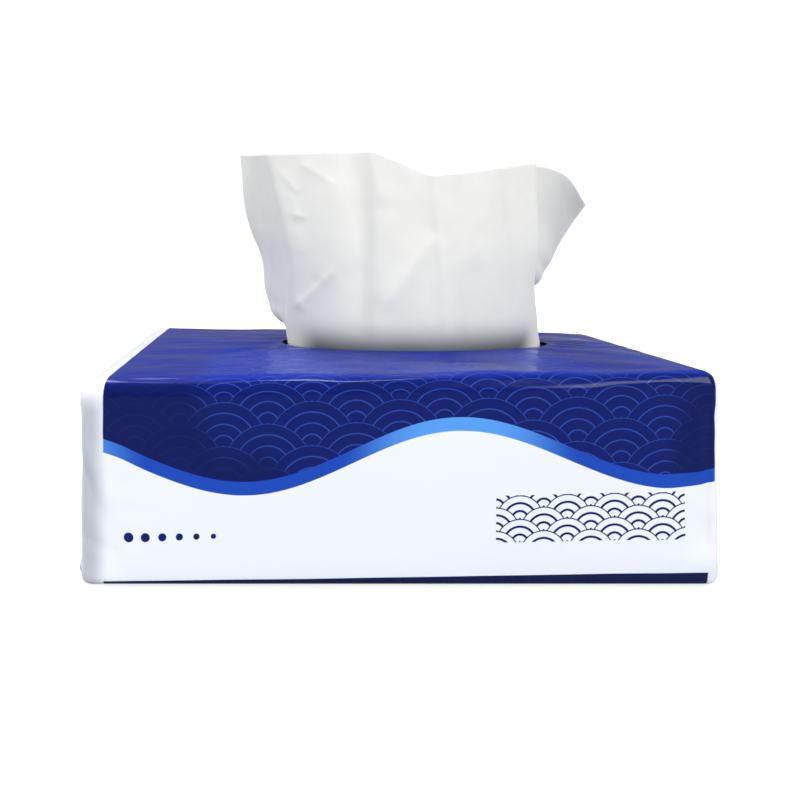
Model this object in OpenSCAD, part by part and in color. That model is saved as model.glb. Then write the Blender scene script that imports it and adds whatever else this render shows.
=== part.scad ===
/* [Pack] */
// Length of the pack, left to right
pack_l = 190; // [170:1:230]
// Depth of the pack, front to back
pack_d = 102; // [92:1:130]
// Height of the pack along the edges of its top panel
pack_h = 62; // [48:1:90]
// How far the top panel domes up in its middle
top_crown = 1; // [0:0.1:3]
// How far one pair of opposite top corners stands up and the other pair sinks
top_twist = 1.5; // [0:0.1:2]
// How far the front and rear panels swell out
side_swell = 0.8; // [0:0.1:3]
// Radius of the edges around the top panel
top_edge_r = 5; // [3:0.5:7]
// Radius of the edges around the base
base_edge_r = 2.5; // [1.5:0.5:4]
// Radius of the four upright corners
corner_r = 4; // [2:0.5:6]

/* [Film] */
// Thickness of the wrapping film
film_t = 0.2; // [0.1:0.05:0.4]
// How far the film around the slot is pushed up by the tissue
lip_lift = 1; // [0:0.1:2]
// Height of an end flap, from its fold to its cut edge
flap_h = 33; // [20:1:36]
// Width of an end flap at its cut edge
flap_tip_w = 34; // [15:1:60]
// Width of the sealed lap along the base
seam_w = 12; // [6:1:20]
// Depth of the soft dents beside the upright corners
dent_depth = 0.9; // [0:0.1:2]
// How far a dent reaches from the end of the pack
dent_reach = 14; // [8:1:20]

/* [Tear-out slot] */
// Length of the slot from tip to tip
slot_l = 98; // [80:1:120]
// Width of the slot at its middle
slot_w = 42; // [34:1:46]
// How far the slot sits to the right of the middle
slot_x = 12; // [-15:1:15]
// How far the slot sits behind the middle
slot_y = 4; // [-4:1:6]

/* [Print] */
// Width of the bare film between the print and each end
print_margin = 7.5; // [7:0.5:12]
// How far the dark field reaches down the front and rear on average
print_drop = 21; // [19:1:24]
// How far that edge waves up and down
print_wave = 9; // [0:0.5:9]
// Length of one wave
print_period = 127; // [60:1:200]
// Height of the lighter band that follows that edge
band_h = 4; // [2:0.5:6]

/* [Tissues] */
// Clearance between the cut sides of the sheets and the film's ends
end_fit = 2.8; // [1:0.1:8]
// Thickness of one two-ply sheet
sheet_t = 0.3; // [0.2:0.05:0.4]
// Gap between sheets that lie on each other
lay_gap = 0.2; // [0.1:0.05:0.4]
// Clearance between the stack and the film around it
stack_fit = 0.5; // [0.3:0.1:1.5]
// Gap between the topmost sheet and the lowest edge of the top panel
top_gap = 0.6; // [0.4:0.1:3]
// How far the top of the stack dips between its folded edges
stack_dip = 4.2; // [2:0.1:6]
// Height of one bundle of folds on the long sides of the stack
fold_pitch = 2.6; // [2:0.1:6]
// Depth of the groove between two bundles
fold_groove = 0.4; // [0.1:0.1:0.8]

/* [Drawn tissue] */
// Height of the drawn tissue above the top panel
draw_h = 71; // [40:1:90]
// How far the drawn tissue leans back from its foot to its free edge
draw_lean = 7; // [0:0.5:12]
// Width of the left side that is folded behind
fold_left = 30; // [20:1:36]
// Width of the right side that is folded behind
fold_right = 46; // [36:1:50]
// Distance between the two creases of the pleat on the right
pleat_w = 11; // [9:1:18]
// Sheet width taken up by one rounded crease
crease_w = 9; // [6:0.5:12]
// Height of the soft ridges and valleys of the front run, as a share of the drawn ones
wave_height = 1; // [0:0.1:1.5]

/* [Colours] */
// Bare film
film_colour = "#EFF2FA";
// Dark printed field
field_colour = "#1B2C74";
// Band along the dark field
band_colour = "#2F6FCF";
// Tissues
tissue_colour = "#F1F1EE";

/* [Hidden] */

// Half sizes of the film's outer skin, whose base lies one film above the floor, on its seam
half_l = pack_l / 2;
half_d = pack_d / 2;
base_z = film_t;
margin_clear = 2;
margin_x = half_l - max(print_margin, top_edge_r + margin_clear);
// Width of one sheet, left to right
sheet_w = pack_l - 2 * (film_t + end_fit);
least_r = 0.6;
// Last inner row of the top panel, as a share of the way from the slot to the rounded edge
last_share = 0.86;
most_share = 0.94;
// Each ring of the base is this share smaller than the one before
ring_share = 0.45;

// Columns of the film's skin: half an end, a corner and half a long side make a quarter
end_steps = 4;
corner_steps = 4;
side_steps = 9;
quarter = end_steps + corner_steps + side_steps;
around = 4 * quarter;
side_start = end_steps + corner_steps + 1;
// Rows of the film's skin, from the rim of the slot to the middle of the base
top_rows = 6;
edge_rows = top_rows + 4;
field_rows = edge_rows + 2;
band_rows = field_rows + 1;
side_rows = band_rows + 5;
base_edge_rows = side_rows + 3;
base_rows = base_edge_rows + 2;

// Levels of the layers above the stack, counted in sheets that lie on each other
lay = sheet_t + lay_gap;
next_low = 1;
drawn_low = 2;
next_up = 4;
drawn_up = 6;
// Crest of the stack's folded edges, under the lowest edge of the top panel
stack_half_d = half_d - film_t - dent_depth - stack_fit;
stack_edge_z = pack_h - top_twist - film_t - top_gap - drawn_up * lay;
fold_y = half_d - top_edge_r;
stack_low = base_z + film_t + lay_gap;
// How far the free edge of a folded sheet stays back from the fold around it
tuck = 3;

function mix(a, b, t) = a + (b - a) * t;
function ease(t) = let (c = min(max(t, 0), 1)) c * c * (3 - 2 * c);
function unit(v) = v / norm(v);
// Smooth curve at t through the rows of a table of [t, value], and its slope at row i
function slope_at(table, i) =
    let (a = table[max(i - 1, 0)], b = table[min(i + 1, len(table) - 1)])
    (b[1] - a[1]) / (b[0] - a[0]);
function smooth(table, t, i = 0) =
    i < len(table) - 2 && t > table[i + 1][0] ? smooth(table, t, i + 1)
    : let (a = table[i], b = table[i + 1], w = b[0] - a[0], u = (t - a[0]) / w)
    mix(a[1], b[1], u * u * (3 - 2 * u))
    + w * u * (1 - u) * (slope_at(table, i) * (1 - u) - slope_at(table, i + 1) * u);
function quad(a, b, c, d) = [[a, b, c], [a, c, d]];

// Height of the stack's top at depth y, which dips between the folded edges, and of a layer on it
function stack_top(y) = stack_edge_z - stack_dip * (1 - pow(min(abs(y) / fold_y, 1), 2));
function layer_z(y, level) = stack_top(y) + (level - 0.5) * lay;

// Plan of the pack: the step of column j within its quarter, and its point at an inset
function side_x(j) = (j <= quarter || j >= 3 * quarter) ? 1 : -1;
function side_y(j) = j <= 2 * quarter ? -1 : 1;
function quarter_step(j) =
    let (half = j <= 2 * quarter ? j : around - j)
    half <= quarter ? half : 2 * quarter - half;
function plan(j, inset) =
    let (
        k = quarter_step(j),
        turn = 90 * min(max((k - end_steps) / corner_steps, 0), 1),
        r = max(corner_r - inset, least_r),
        x = half_l - inset - r + r * cos(turn),
        y = half_d - inset - r + r * sin(turn)
    )
    [
        side_x(j) * (k < side_start ? x : mix(margin_x, 0, (k - side_start) / (side_steps - 1))),
        side_y(j) * (k < end_steps ? y * k / end_steps : y)
    ];

// Point of the slot's rim on column j: an ellipse
function rim(j) =
    let (p = plan(j, 0), angle = atan2(p.y / half_d, p.x / half_l))
    [slot_x + slot_l / 2 * cos(angle), slot_y + slot_w / 2 * sin(angle)];

// Height of the top panel at a point seen from above: its crown and its twist
function panel_z(p) =
    let (u = p.x / half_l, v = p.y / half_d)
    pack_h + top_crown * (1 - u * u) * (1 - v * v) - top_twist * u * v;

// How far a side panel stands out at a point: it swells in the middle and dents by the corners
function side_out(x, z) =
    let (
        u = x / half_l,
        h = min(max((z - base_z) / (pack_h - base_z), 0), 1),
        off = (half_l - abs(x)) / dent_reach - 0.5 - 0.6 * h
    )
    sin(180 * h) * (side_swell * (1 - u * u) - dent_depth * exp(-8 * off * off));

// Lower edge of the dark field on the front and rear panels
wave_start = 40;
function field_z(x) = pack_h - print_drop + print_wave * sin(360 * x / print_period + wave_start);

// Share of the way from the slot to the top edge: the last row but one follows the print's end
function top_share(i, j) =
    let (
        near = rim(j),
        edge = plan(j, top_edge_r),
        k = quarter_step(j),
        at_margin = (side_x(j) * margin_x - near.x) / (edge.x - near.x),
        last = k < side_start ? min(at_margin, most_share) : last_share
    )
    i == top_rows ? 1 : last * i / (top_rows - 1);

// Height of row i on a side panel, between the two rounded edges
function side_z(i, x, top) =
    let (field = field_z(x), band = field - band_h, low = base_z + base_edge_r)
    i <= field_rows ? mix(top, field, (i - edge_rows) / (field_rows - edge_rows))
    : i <= band_rows ? band
    : mix(band, low, (i - band_rows) / (side_rows - band_rows));

// Point of the film's skin at row i and column j, set in from the outer skin by depth
function film_point(i, j, depth) =
    i <= top_rows ? top_point(i, j, depth)
    : i <= edge_rows ? edge_point(90 * (i - top_rows) / (edge_rows - top_rows), j, depth)
    : i <= side_rows ? side_point(i, j, depth)
    : base_point(i, j, depth);

function top_point(i, j, depth) =
    let (p = mix(rim(j), plan(j, top_edge_r), top_share(i, j)))
    [p.x, p.y, panel_z(p) + lip_lift * pow(1 - i / top_rows, 2) - depth];

function edge_point(angle, j, depth) =
    let (
        p = plan(j, top_edge_r - (top_edge_r - depth) * sin(angle)),
        z = panel_z(plan(j, 0)) - top_edge_r + (top_edge_r - depth) * cos(angle)
    )
    [p.x, p.y + side_y(j) * panel_share(j) * side_out(p.x, z), z];

function side_point(i, j, depth) =
    let (p = plan(j, depth), z = side_z(i, p.x, panel_z(plan(j, 0)) - top_edge_r))
    [p.x, p.y + side_y(j) * panel_share(j) * side_out(p.x, z), z];

function base_point(i, j, depth) =
    let (
        angle = 90 * min((i - side_rows) / (base_edge_rows - side_rows), 1),
        p = plan(j, base_edge_r - (base_edge_r - depth) * cos(angle)),
        share = i <= base_edge_rows ? 1 : 1 - ring_share * (i - base_edge_rows),
        z = base_z + base_edge_r - (base_edge_r - depth) * sin(angle)
    )
    [p.x * share, (p.y + side_y(j) * panel_share(j) * side_out(p.x, z)) * share, z];

// Share of a side panel's relief that column j takes: all on a long side, none on an end
function panel_share(j) = ease((quarter_step(j) - end_steps) / corner_steps);

// Kind of the cell below row i and past column j: bare film, dark field, band, or no film
function on_side(j) = min(quarter_step(j), quarter_step(j + 1)) >= side_start;
function cell_kind(i, j) =
    i < 0 ? "none"
    : on_side(j) ? (i < field_rows ? "field" : i < band_rows ? "band" : "bare")
    : i < top_rows - 1 ? "field" : "bare";

// Solid of all film cells of one kind, with walls where they meet cells of another kind
function outer_index(i, j) = i * around + (j + around) % around;
function inner_index(i, j) = (base_rows + 1) * around + outer_index(i, j);
function cell_faces(i, j, kind) =
    let (
        a = outer_index(i, j), b = outer_index(i + 1, j),
        c = outer_index(i + 1, j + 1), d = outer_index(i, j + 1),
        e = inner_index(i, j), f = inner_index(i + 1, j),
        g = inner_index(i + 1, j + 1), h = inner_index(i, j + 1)
    )
    concat(
        quad(a, b, c, d),
        quad(e, h, g, f),
        cell_kind(i - 1, j) == kind ? [] : quad(a, d, h, e),
        i + 1 == base_rows || cell_kind(i + 1, j) == kind ? [] : quad(c, b, f, g),
        cell_kind(i, (j + around - 1) % around) == kind ? [] : quad(b, a, e, f),
        cell_kind(i, (j + 1) % around) == kind ? [] : quad(d, c, g, h)
    );

module film_cells(kind) {
    skins = [
        for (depth = [0, film_t]) for (i = [0:base_rows]) for (j = [0:around - 1])
            film_point(i, j, depth)
    ];
    outer_pole = len(skins);
    cells = [
        for (i = [0:base_rows - 1]) for (j = [0:around - 1])
            if (cell_kind(i, j) == kind) each cell_faces(i, j, kind)
    ];
    fans = kind != "bare" ? [] : [
        for (j = [0:around - 1]) each [
            [outer_index(base_rows, j), outer_pole, outer_index(base_rows, j + 1)],
            [inner_index(base_rows, j), inner_index(base_rows, j + 1), outer_pole + 1]
        ]
    ];
    polyhedron(concat(skins, [[0, 0, base_z], [0, 0, base_z + film_t]]), concat(cells, fans), convexity = 6);
}

// Folded end flap: a trapezoid of film that lies on the end, from its fold up or down
module end_flap(side, root_z, way, thick) {
    root_w = pack_d - 2 * corner_r;
    sink = film_t / 2;
    translate([side > 0 ? half_l - sink : -half_l - thick, 0, root_z])
        rotate([90, 0, 90])
            linear_extrude(thick + sink)
                polygon([
                    [-root_w / 2, 0], [root_w / 2, 0],
                    [flap_tip_w / 2, way * flap_h], [-flap_tip_w / 2, way * flap_h]
                ]);
}

module film_wrapper() {
    color(field_colour) film_cells("field");
    color(band_colour) film_cells("band");
    color(film_colour) {
        film_cells("bare");
        for (side = [-1, 1]) {
            end_flap(side, pack_h - top_twist - top_edge_r, -1, film_t);
            end_flap(side, base_z + base_edge_r, 1, 2 * film_t);
        }
        translate([-half_l + corner_r, -seam_w / 2, 0])
            cube([pack_l - 2 * corner_r, seam_w, base_z + film_t / 2]);
    }
}

// Side of the stack at height z: bundles of folds with grooves between, rounded off above and below
function stack_side(z) =
    let (
        top_r = top_edge_r - film_t,
        base_r = base_edge_r - film_t,
        from_top = max(z - (stack_edge_z - top_r), 0),
        from_low = max(stack_low + base_r - z, 0),
        wave = abs(sin(180 * (z - stack_low) / fold_pitch))
    )
    stack_half_d - fold_groove * (1 - sqrt(wave))
    - (top_r - sqrt(max(top_r * top_r - from_top * from_top, 0)))
    - (base_r - sqrt(max(base_r * base_r - from_low * from_low, 0)));

module tissue_stack() {
    step = fold_pitch / 4;
    rise = [for (z = [stack_low:step:stack_edge_z - step]) z];
    dip = [for (y = [fold_y:-fold_y / 8:-fold_y]) [y, stack_top(y)]];
    color(tissue_colour)
        translate([-sheet_w / 2, 0, 0])
            rotate([90, 0, 90])
                linear_extrude(sheet_w)
                    polygon(concat(
                        [for (z = rise) [stack_side(z), z]],
                        dip,
                        [for (i = [len(rise) - 1:-1:0]) [-stack_side(rise[i]), rise[i]]]
                    ));
}

// Solid sheet around a grid of points: each point is moved half the thickness to both sides
function grid_normal(grid, r, c) =
    let (
        last_r = len(grid) - 1,
        last_c = len(grid[0]) - 1,
        down = grid[min(r + 1, last_r)][c] - grid[max(r - 1, 0)][c],
        across = grid[r][min(c + 1, last_c)] - grid[r][max(c - 1, 0)]
    )
    unit(cross(down, across));

module sheet_solid(grid) {
    rows = len(grid);
    cols = len(grid[0]);
    skins = [
        for (half = [1, -1]) for (r = [0:rows - 1]) for (c = [0:cols - 1])
            grid[r][c] + half * sheet_t / 2 * grid_normal(grid, r, c)
    ];
    back = rows * cols;
    faces = [
        for (r = [0:rows - 2]) for (c = [0:cols - 2])
            let (a = r * cols + c, b = a + cols, d = a + 1, e = b + 1)
            each concat(quad(a, d, e, b), quad(back + a, back + b, back + e, back + d))
    ];
    ends = [
        for (c = [0:cols - 2]) for (edge = [0, 1])
            let (a = edge * (rows - 1) * cols + c)
            each edge == 0 ? quad(a, back + a, back + a + 1, a + 1) : quad(a + 1, back + a + 1, back + a, a)
    ];
    sides = [
        for (r = [0:rows - 2]) for (edge = [0, 1])
            let (a = r * cols + edge * (cols - 1))
            each edge == 0
                ? quad(a + cols, back + a + cols, back + a, a)
                : quad(a, back + a, back + a + cols, a + cols)
    ];
    polyhedron(points = skins, faces = concat(faces, ends, sides), convexity = 10);
}

// Path of a sheet that lies at one level, turns over at a folded edge and runs back at another
function folded_path(y_start, y_fold, y_end, high, low, runs) =
    let (
        way = sign(y_fold - y_start),
        r = (high - low) * lay / 2,
        mid = layer_z(y_fold, (high + low) / 2)
    )
    concat(
        [for (i = [0:runs]) let (y = mix(y_start, y_fold, i / runs)) [y, layer_z(y, high)]],
        [for (a = [45:45:135]) [y_fold + way * r * sin(a), mid + r * cos(a)]],
        [for (i = [0:runs]) let (y = mix(y_fold, y_end, i / runs)) [y, layer_z(y, low)]]
    );

// Folded sheet that waits under the slot: its upper half reaches forward between the drawn
// tissue's two halves, and its lower half lies on the stack
module next_tissue() {
    path = folded_path(-fold_y + tuck, fold_y - lay, -fold_y + 2 * tuck, next_up, next_low, 10);
    cols = 12;
    grid = [for (p = path) [for (c = [0:cols]) [mix(-sheet_w / 2, sheet_w / 2, c / cols), p[0], p[1]]]];
    color(tissue_colour) sheet_solid(grid);
}

// Columns of the drawn tissue across its width
drawn_cols = 64;
drawn_step = sheet_w / drawn_cols;
function column_s(c) = -sheet_w / 2 + c * drawn_step;

// How the folds change from the slot, at share 0 of the drawn height, to the free edge, at share 1:
// turn of the left crease, direction of the flap on the right, shift of both creases as shares of the
// sheet's width, and shift and curve of the front run between them
left_turn = [[0, 196], [0.1, 136], [0.2, 80], [0.35, 69], [0.6, 63.5], [1, 64]];
right_flap = [[0, 196], [0.13, 135], [0.24, 85], [0.36, 57], [0.5, 52], [0.7, 47], [0.85, 38.5], [1, 28]];
left_shift = [[0, 0], [0.35, 0.0245], [0.6, 0.019], [1, 0]];
right_shift = [[0, 0], [0.35, -0.0435], [0.6, -0.0516], [1, -0.0462]];
run_shift = [[0, 0], [0.3, -0.0027], [0.56, -0.0054], [1, -0.0299]];
run_curve = [[0, 46], [0.3, 33], [0.56, 20], [1, 8]];
fold_turn = [[0, 150], [1, 172]];

// Soft ridges and valleys of the front run, as shares of the sheet's width: place from its middle at
// the slot and at the free edge, half width, and height at the slot and at the free edge
ridges = sheet_w * [
    [-0.168, -0.19, 0.054, 0.0043, 0.013], [-0.114, -0.109, 0.027, -0.0038, -0.012],
    [-0.087, -0.06, 0.027, 0.0065, 0.0054], [-0.027, 0.016, 0.043, -0.0022, -0.0049],
    [0.049, 0.082, 0.03, 0.0082, 0.0098], [0.125, 0.168, 0.049, -0.0043, -0.0087],
    [0.201, 0.223, 0.027, 0.0043, 0.0076]
];
function ridge_slope(at, width, height) = 2 * height * at / (width * width) * exp(-at * at / (width * width));
function wave_turn(run_s, t) =
    atan(wave_height * vsum([
        for (r = ridges) ridge_slope(run_s - mix(r[0], r[1], t), r[2], mix(r[3], r[4], t))
    ]));
function vsum(list) = list * [for (item = list) 1];

// Creases at share t of the way from the slot to the free edge
function crease(s, at) = ease((s - at) / crease_w + 0.5);
function left_crease(t) = -sheet_w / 2 + fold_left + sheet_w * smooth(left_shift, t);
function right_crease(t) = sheet_w / 2 - fold_right + sheet_w * smooth(right_shift, t);
function run_mid(t) = (left_crease(t) + right_crease(t)) / 2;
function run_half(t) = (right_crease(t) - left_crease(t)) / 2;

// Direction of the sheet seen from above at distance s across it, in degrees: it comes forward along
// the left flap, runs along the front, folds back and opens out again along the right flap
function heading(s, t) =
    let (
        at = s - run_mid(t),
        run = min(max(at / run_half(t), -1), 1),
        turn = smooth(fold_turn, t),
        curve = smooth(run_curve, t)
    )
    -(smooth(left_turn, t) - curve) * (1 - crease(s, left_crease(t)))
    + turn * crease(s, right_crease(t))
    - (turn + curve - smooth(right_flap, t)) * crease(s, right_crease(t) + pleat_w)
    + curve * run
    + wave_turn(at, t) * (1 - pow(run, 4));

// Row of the drawn tissue seen from above: steps along the heading, placed by the middle of its run
function plan_row(t, at) =
    let (
        mid_at = (run_mid(t) + sheet_w / 2) / drawn_step,
        before = floor(mid_at),
        points = [
            for (
                c = 0, p = [0, 0];
                c <= drawn_cols;
                way = heading(column_s(c) + drawn_step / 2, t),
                p = p + drawn_step * [cos(way), sin(way)],
                c = c + 1
            ) p
        ],
        shift = at - mix(points[before], points[before + 1], mid_at - before)
    )
    [for (p = points) p + shift];

// Height of the free edge above the slot, as a share of the drawn height, across the sheet
edge_line = [
    [-1, 1.01], [-0.68, 0.98], [-0.5, 0.98], [-0.27, 0.985], [-0.02, 0.866], [0.09, 0.88], [0.26, 0.91],
    [0.41, 0.93], [0.69, 0.934], [0.8, 0.925], [0.91, 0.87], [1, 0.732]
];
function edge_share(s) = smooth(edge_line, 2 * s / sheet_w);

// Foot of the drawn tissue in the slot, just inside the slot's front rim
rim_gap = 2;
foot = [slot_x, slot_y - slot_w / 2 + rim_gap];
foot_z = pack_h + top_crown;
standing_rows = 20;
function standing_row(i) =
    let (
        t = 1 - i / standing_rows,
        plan = plan_row(t, foot + [sheet_w * smooth(run_shift, t), draw_lean * t])
    )
    [for (c = [0:drawn_cols]) [plan[c].x, plan[c].y, foot_z + t * draw_h * edge_share(column_s(c))]];

// The rest of the sheet: each column drops below the film, bends forward at its own depth, runs
// to the front fold and returns; the parts folded behind lie one layer nearer the fold's middle
drop_r = 1.5;
function behind(s) = 1 - crease(s, left_crease(0)) + crease(s, right_crease(0));
function lying_column(p, s) =
    let (
        high = drawn_up - behind(s),
        low = drawn_low + behind(s),
        lay_y = p.y - drop_r,
        top = layer_z(lay_y, high) + drop_r
    )
    concat(
        [[p.y, mix(foot_z, top, 0.5)]],
        [for (a = [0, 45]) [p.y - drop_r * (1 - cos(a)), top - drop_r * sin(a)]],
        folded_path(lay_y, -fold_y + lay, fold_y - tuck, high, low, 5)
    );

module drawn_tissue() {
    slot_row = standing_row(standing_rows);
    lying = [for (c = [0:drawn_cols]) lying_column(slot_row[c], column_s(c))];
    standing_grid = [for (i = [0:standing_rows]) standing_row(i)];
    lying_grid = [
        for (r = [0:len(lying[0]) - 1])
            [for (c = [0:drawn_cols]) [slot_row[c].x, lying[c][r][0], lying[c][r][1]]]
    ];
    color(tissue_colour) sheet_solid(concat(standing_grid, lying_grid));
}

film_wrapper();
tissue_stack();
next_tissue();
drawn_tissue();
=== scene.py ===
# Soft pack of facial tissues: a printed film around a stack of folded sheets, with one sheet drawn up.
# The shapes below are worked out in millimetres, x to the right, y to the rear and z up, and their
# meshes are in metres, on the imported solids.
import bpy
import math
import numpy as np
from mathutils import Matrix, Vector


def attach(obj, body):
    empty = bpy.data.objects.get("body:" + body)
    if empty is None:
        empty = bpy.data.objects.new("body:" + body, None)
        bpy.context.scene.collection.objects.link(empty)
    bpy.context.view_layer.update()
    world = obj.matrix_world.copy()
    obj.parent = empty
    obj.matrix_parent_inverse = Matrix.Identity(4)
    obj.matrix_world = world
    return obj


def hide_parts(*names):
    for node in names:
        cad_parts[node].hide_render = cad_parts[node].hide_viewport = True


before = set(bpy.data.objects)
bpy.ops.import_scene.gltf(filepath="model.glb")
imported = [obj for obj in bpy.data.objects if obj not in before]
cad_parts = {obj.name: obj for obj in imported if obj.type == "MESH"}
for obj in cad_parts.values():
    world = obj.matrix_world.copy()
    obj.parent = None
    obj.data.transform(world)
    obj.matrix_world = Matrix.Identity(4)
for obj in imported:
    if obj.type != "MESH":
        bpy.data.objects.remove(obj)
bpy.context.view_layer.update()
print("stage: frame loaded")

scene = bpy.context.scene
scene.view_settings.view_transform = "Standard"


def mix(a, b, t):  # straight blend from a to b
    return a + (b - a) * t


def ease(t):  # 3t^2 - 2t^3, level at both ends
    c = np.clip(t, 0, 1)
    return c * c * (3 - 2 * c)


def hump(t):  # bell curve, 1 at 0 and almost nothing past 2
    return np.exp(-t * t)


def smoothCurve(table, t):  # cubic through the rows of a table, with each slope taken from its neighbours
    at, value = np.array(table, float).T
    row = np.arange(len(at))
    before, after = np.maximum(row - 1, 0), np.minimum(row + 1, len(at) - 1)
    slope = (value[after] - value[before]) / (at[after] - at[before])
    i = np.clip(np.searchsorted(at, t, side="right") - 1, 0, len(at) - 2)
    w = at[i + 1] - at[i]
    u = (t - at[i]) / w
    lean = slope[i] * (1 - u) - slope[i + 1] * u
    return mix(value[i], value[i + 1], u * u * (3 - 2 * u)) + w * u * (1 - u) * lean


def softNoise(a, b, size, seed):  # sum of plane waves in random directions, each about one size long
    rng = np.random.default_rng(seed)
    waves, circle = 20, 6.28
    ways, paces = rng.uniform(0, circle, waves), rng.uniform(0.6, 1.6, waves)
    total = np.zeros(np.broadcast(a, b).shape)
    for way, pace, start in zip(ways, paces, rng.uniform(0, circle, waves)):
        total = total + np.sin(circle * pace / size * (np.cos(way) * a + np.sin(way) * b) + start)
    return total / 4


def surfaceNormals(points, ring=False):  # cross product of the grid's two directions, made one long
    down = np.gradient(points, axis=0)
    if ring:
        across = (np.roll(points, -1, axis=1) - np.roll(points, 1, axis=1)) / 2
    else:
        across = np.gradient(points, axis=1)
    normal = np.cross(down, across)
    return normal / np.maximum(np.linalg.norm(normal, axis=-1, keepdims=True), 1e-9)


def creaseShape(a, b, start, end, wide):  # e^-|distance from the line / width|, fading out past both ends
    length = math.hypot(end[0] - start[0], end[1] - start[1])
    wayA, wayB = (end[0] - start[0]) / length, (end[1] - start[1]) / length
    along = (a - start[0]) * wayA + (b - start[1]) * wayB
    across = ((a - start[0]) * wayB - (b - start[1]) * wayA) / wide
    started, ended = ease(along / wide / 2 + 0.5), ease((length - along) / wide / 2 + 0.5)
    return np.exp(0.25 - np.sqrt(across ** 2 + 0.06)) * started * ended


def surfaceMesh(name, points, places, ring=False, pole=False):
    # Quads over a grid. A ring joins its last column to the first, and a pole makes its last row one point.
    rows, cols = points.shape[:2]
    index = np.arange(rows * cols).reshape(rows, cols)
    near = index if ring else index[:, :-1]
    far = np.roll(index, -1, axis=1) if ring else index[:, 1:]
    if ring:  # rows run outward and columns clockwise, so the faces turn to point outward
        near, far = far, near
    corners = np.stack([near[:-1], near[1:], far[1:], far[:-1]], axis=-1)
    quads, fan = (corners[:-1], corners[-1][:, [0, 1, 3]]) if pole else (corners, corners[-1, :0, :3])
    loops = np.concatenate([quads.reshape(-1), fan.reshape(-1)])
    starts = np.concatenate([np.arange(0, quads.size, 4), np.arange(quads.size, loops.size, 3)])
    vertex = np.minimum(loops, (rows - 1) * cols) if pole else loops
    mesh = bpy.data.meshes.new(name)
    mesh.vertices.add(int(vertex.max()) + 1)
    metres = points.reshape(-1, 3)[:vertex.max() + 1] * 0.001
    mesh.vertices.foreach_set("co", metres.reshape(-1).astype(np.float32))
    mesh.loops.add(loops.size)
    mesh.loops.foreach_set("vertex_index", vertex.astype(np.int32))
    mesh.polygons.add(len(starts))
    mesh.polygons.foreach_set("loop_start", starts.astype(np.int32))
    mesh.update(calc_edges=True)
    mesh.polygons.foreach_set("use_smooth", np.ones(len(starts), dtype=bool))
    layer = mesh.uv_layers.new(name="sheetPlaces")
    layer.uv.foreach_set("vector", places.reshape(-1, 2)[loops].reshape(-1).astype(np.float32))
    mesh.validate()
    return mesh


def finishedPiece(name, mesh, material, thick, offset, node):  # object at the origin, walled evenly
    piece = bpy.data.objects.new(name, mesh)
    scene.collection.objects.link(piece)
    mesh.materials.append(material)
    wall = piece.modifiers.new("wall", "SOLIDIFY")
    wall.thickness = thick * 0.001
    wall.offset = offset
    wall.use_even_offset = False
    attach(piece, "root")
    if node:
        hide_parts(node)
    return piece


def hexLinear(text):  # sRGB hex to linear values
    parts = np.array([int(text[i:i + 2], 16) for i in (1, 3, 5)]) / 255
    linear = np.where(parts <= 0.04045, parts / 12.92, ((parts + 0.055) / 1.055) ** 2.4)
    return (*linear.tolist(), 1.0)


def addNode(tree, kind, inputs, **settings):  # adds a node, sets or links its inputs, and returns its outputs
    node = tree.nodes.new("ShaderNode" + kind)
    for key, value in settings.items():
        setattr(node, key, value)
    for key, value in inputs.items():
        if isinstance(value, bpy.types.NodeSocket):
            tree.links.new(value, node.inputs[key])
        else:
            node.inputs[key].default_value = value
    return node.outputs


def newMaterial(name, roughness, ior, specular):
    material = bpy.data.materials.new(name)
    material.use_nodes = True
    shader = material.node_tree.nodes["Principled BSDF"]
    shader.inputs["Roughness"].default_value = roughness
    shader.inputs["IOR"].default_value = ior
    shader.inputs["Specular IOR Level"].default_value = specular
    return material, material.node_tree, shader


filmMap = {"left": -100.0, "wide": 200.0, "low": -119.0, "long": 340.0}  # mm of film on its UV map

printSizes = {
    "left": -87.5, "right": 93.2,  # ends of the print; the film is bare past them
    "soft": 0.06, "softEnd": 0.15,  # half the blur of a printed edge, and of the print's two ends
    "stripeRight": 90.5,
    "drop": 21, "wave": 9, "period": 127, "start": 40,  # lower edge of the dark field, below the top edge
    "band": 4,  # lighter band along that edge
    "scallop": 13, "ring": 3.25, "line": 0.4,  # scallop pattern on the dark field
    "fade": (0.42, 0.62, 0.06, 0.75),  # noise that starts and ends the pattern's fading, its least and most
    "strip": (28, 84, -49, -35), "stripScallop": 7, "stripLine": 0.7,  # ornament on the white front
    "dots": (-82.5, -52.5, -46), "dotPitch": 5,
    "dotStart": -0.75, "dotShrink": 0.028,  # a dot's radius is dotStart less dotShrink times x
    "marginShadeTop": (-2.0, -10.0), "marginShadeSide": (2, -4), "marginShadeEnd": (-95.6, -93.0),  # where painted shade turns the margin grey
    "stripe": (58.8, 66),  # dark stripe along the base, below the top edge
    "field": "#0E1C6A", "fieldDeep": "#091656", "patternLine": "#2B4CB0",
    "litFieldTop": "#0F2CA0", "litFieldTopDeep": "#0B238A",  # painted light: lighter, more vivid copies of the field for the top, where light falls on it
    # the margin colour is the grey of painted shade by the left end
    "bandDark": "#1A48B6", "bandLight": "#559BEE", "white": "#EAEEF8", "marginShade": "#B8BCC6",
    "stripeColour": "#131C4C", "bare": "#D3D7E0", "bareCloud": "#E2E6EE",
}
aside = 400  # added before a PINGPONG node, which mirrors numbers below zero


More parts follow.
